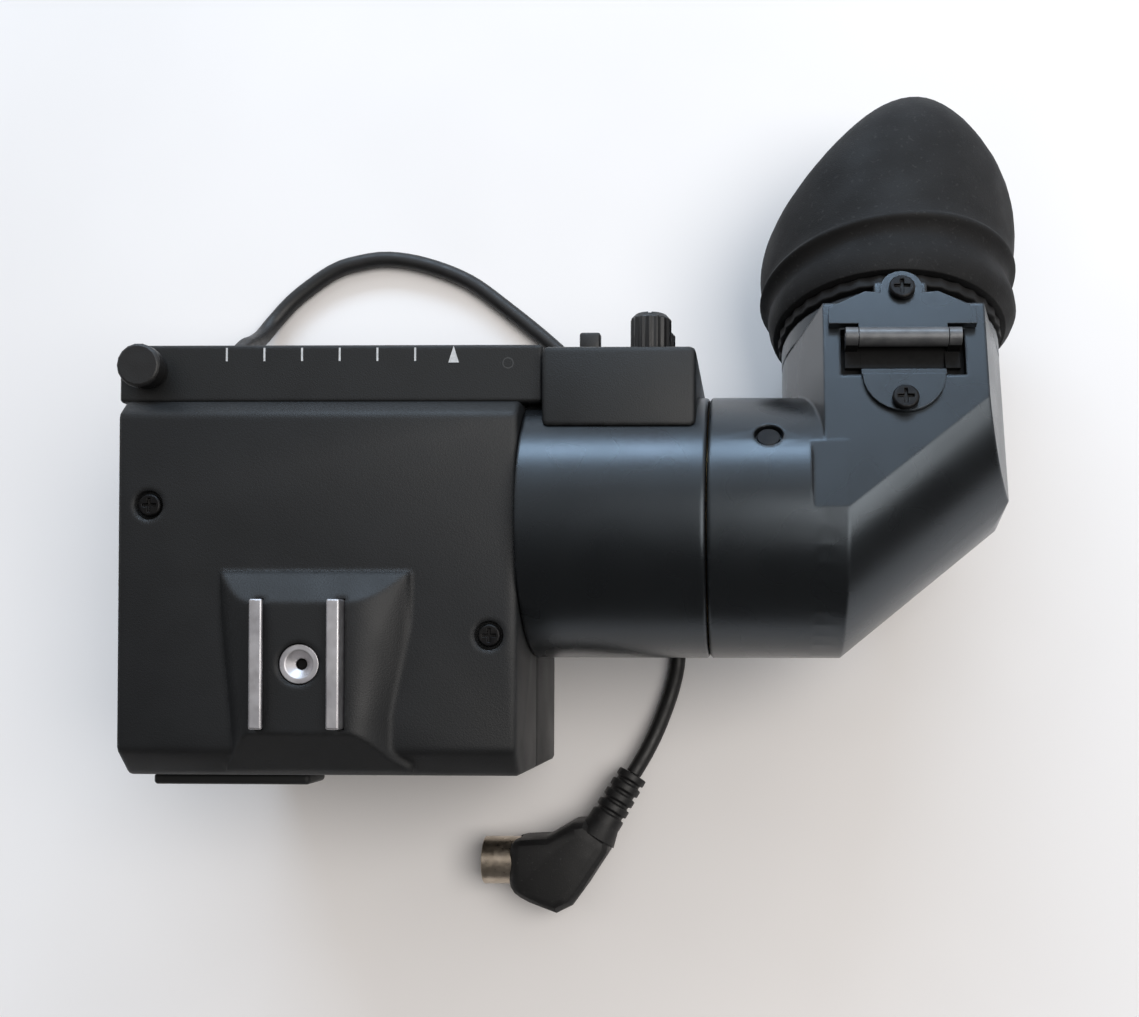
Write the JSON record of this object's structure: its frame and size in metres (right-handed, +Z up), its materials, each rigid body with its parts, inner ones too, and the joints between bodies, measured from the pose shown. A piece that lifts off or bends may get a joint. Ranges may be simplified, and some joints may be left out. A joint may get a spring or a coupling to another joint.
{
  "type": "electronic viewfinder",
  "caption": "Camera viewfinder: boxy housing with accessory shoe and rail bar, round barrel, mirror elbow with flip-up eyepiece and eyecup, and a cable with an angled plug.",
  "frame": {"origin": "middle of the housing's flat bottom", "axes": "+Z up, +X along the picture tube towards the elbow, +Y towards the user's eye"},
  "size_m": [0.2442, 0.2418, 0.0984],
  "materials": {
    "case": "fine matte moulding",
    "paint": "satin anthracite paint",
    "rubber": "matte",
    "knob": "matte",
    "steel": "plain",
    "black_steel": "blackened",
    "nickel": "nickel plate",
    "brass": "turned",
    "core": "dark laminated core in resin",
    "copper": "copper winding",
    "glass": "polished",
    "screen": "phosphor behind glass",
    "mirror": "front silvered",
    "board": "solder mask",
    "resin": "moulded",
    "red": "clear red",
    "cable": "matte jacket"
  },
  "bodies": {
    "viewfinder_body": {"top_cover": "case", "bottom_cover": "case", "rail_bar": "case", "stop_bush": "brass", "shoe_rail_left": "steel", "shoe_rail_right": "steel", "shoe_bush": "steel", "cover_screw_left": "black_steel", "cover_screw_right": "black_steel", "base_screw_1": "black_steel", "base_screw_2": "black_steel", "base_screw_3": "black_steel", "base_screw_4": "black_steel", "tally_frame": "case", "tally_window": "red", "tally_lamp": "red", "crt_barrel": "paint", "crt_tube": "screen", "crt_holder": "resin", "deflection_yoke": "copper", "crt_socket": "resin", "main_board": "board", "high_voltage_transformer": "core", "control_box": "case", "brightness_pot": "resin", "contrast_pot": "resin", "peaking_pot": "resin", "zebra_switch": "resin", "tally_switch": "resin", "cable_strain_relief": "rubber", "cable": "cable", "plug_boot": "rubber", "plug_body": "cable", "plug_shell": "nickel", "plug_insert": "resin", "turn_bearing": "knob", "stop_spring": "steel"},
    "stop_knob_body": {"stop_knob": "knob"},
    "brightness_knob_body": {"brightness_knob": "knob"},
    "contrast_knob_body": {"contrast_knob": "knob"},
    "peaking_knob_body": {"peaking_knob": "knob"},
    "zebra_lever_body": {"zebra_lever": "knob"},
    "tally_lever_body": {"tally_lever": "knob"},
    "elbow_body": {"elbow_housing": "paint", "mirror": "mirror", "mirror_holder": "resin", "friction_screw": "black_steel", "hinge_leaf": "paint", "leaf_screw": "black_steel"},
    "eyepiece_body": {"eyepiece_collar": "paint", "upper_leaf": "paint", "hinge_pin": "steel", "upper_leaf_screw": "black_steel", "catch_spring": "steel"},
    "focus_ring_body": {"focus_ring": "knob"},
    "lens_body": {"lens_barrel": "knob", "front_lens": "glass", "rear_lens": "glass"},
    "eyecup_body": {"eyecup_ring": "knob", "eyecup": "rubber"}
  },
  "joints": [
    {"name": "eyepiece_turn", "type": "hinge", "parent": "viewfinder_body", "child": "elbow_body", "pos_m": [0.1, 0.018, 0.0595], "axis": [1, 0, 0], "range_deg": [0, 108]},
    {"name": "eyepiece_flip", "type": "hinge", "parent": "elbow_body", "child": "eyepiece_body", "pos_m": [0.1503, 0.06555, 0.0819], "axis": [1, 0, 0], "range_deg": [0, 95]},
    {"name": "focus_turn", "type": "hinge", "parent": "eyepiece_body", "child": "focus_ring_body", "pos_m": [0.1509, 0.07392, 0.04133], "axis": [0, 0.9511, -0.309], "range_deg": [-60, 60]},
    {"name": "lens_slide", "type": "slide", "parent": "eyepiece_body", "child": "lens_body", "axis": [0, 0.9511, -0.309], "range_m": [-0.0025, 0.0025]},
    {"name": "eyecup_turn", "type": "hinge", "parent": "eyepiece_body", "child": "eyecup_body", "pos_m": [0.1509, 0.0782, 0.03994], "axis": [0, 0.9511, -0.309], "range_deg": [-100, 100]},
    {"name": "stop_knob_pull", "type": "slide", "parent": "viewfinder_body", "child": "stop_knob_body", "axis": [0, 0, 1], "range_m": [0, 0.003], "stiffness_N_per_m": 700, "springref_m": -0.004, "deforming": ["stop_spring"]},
    {"name": "brightness_turn", "type": "hinge", "parent": "viewfinder_body", "child": "brightness_knob_body", "pos_m": [0.0842, 0.0624, 0.074], "axis": [0, 1, 0], "range_deg": [-150, 150]},
    {"name": "contrast_turn", "type": "hinge", "parent": "viewfinder_body", "child": "contrast_knob_body", "pos_m": [0.0842, 0.0624, 0.058], "axis": [0, 1, 0], "range_deg": [-150, 150]},
    {"name": "peaking_turn", "type": "hinge", "parent": "viewfinder_body", "child": "peaking_knob_body", "pos_m": [0.0842, 0.0624, 0.042], "axis": [0, 1, 0], "range_deg": [-150, 150]},
    {"name": "zebra_throw", "type": "hinge", "parent": "viewfinder_body", "child": "zebra_lever_body", "pos_m": [0.0675, 0.0604, 0.07], "axis": [1, 0, 0], "range_deg": [-14, 14]},
    {"name": "tally_throw", "type": "hinge", "parent": "viewfinder_body", "child": "tally_lever_body", "pos_m": [0.0675, 0.0604, 0.05], "axis": [1, 0, 0], "range_deg": [-14, 14]}
  ],
  "couplings": [
    {"joint": "lens_slide", "follows": "focus_turn", "m_per_rad": 0.002387}
  ]
}
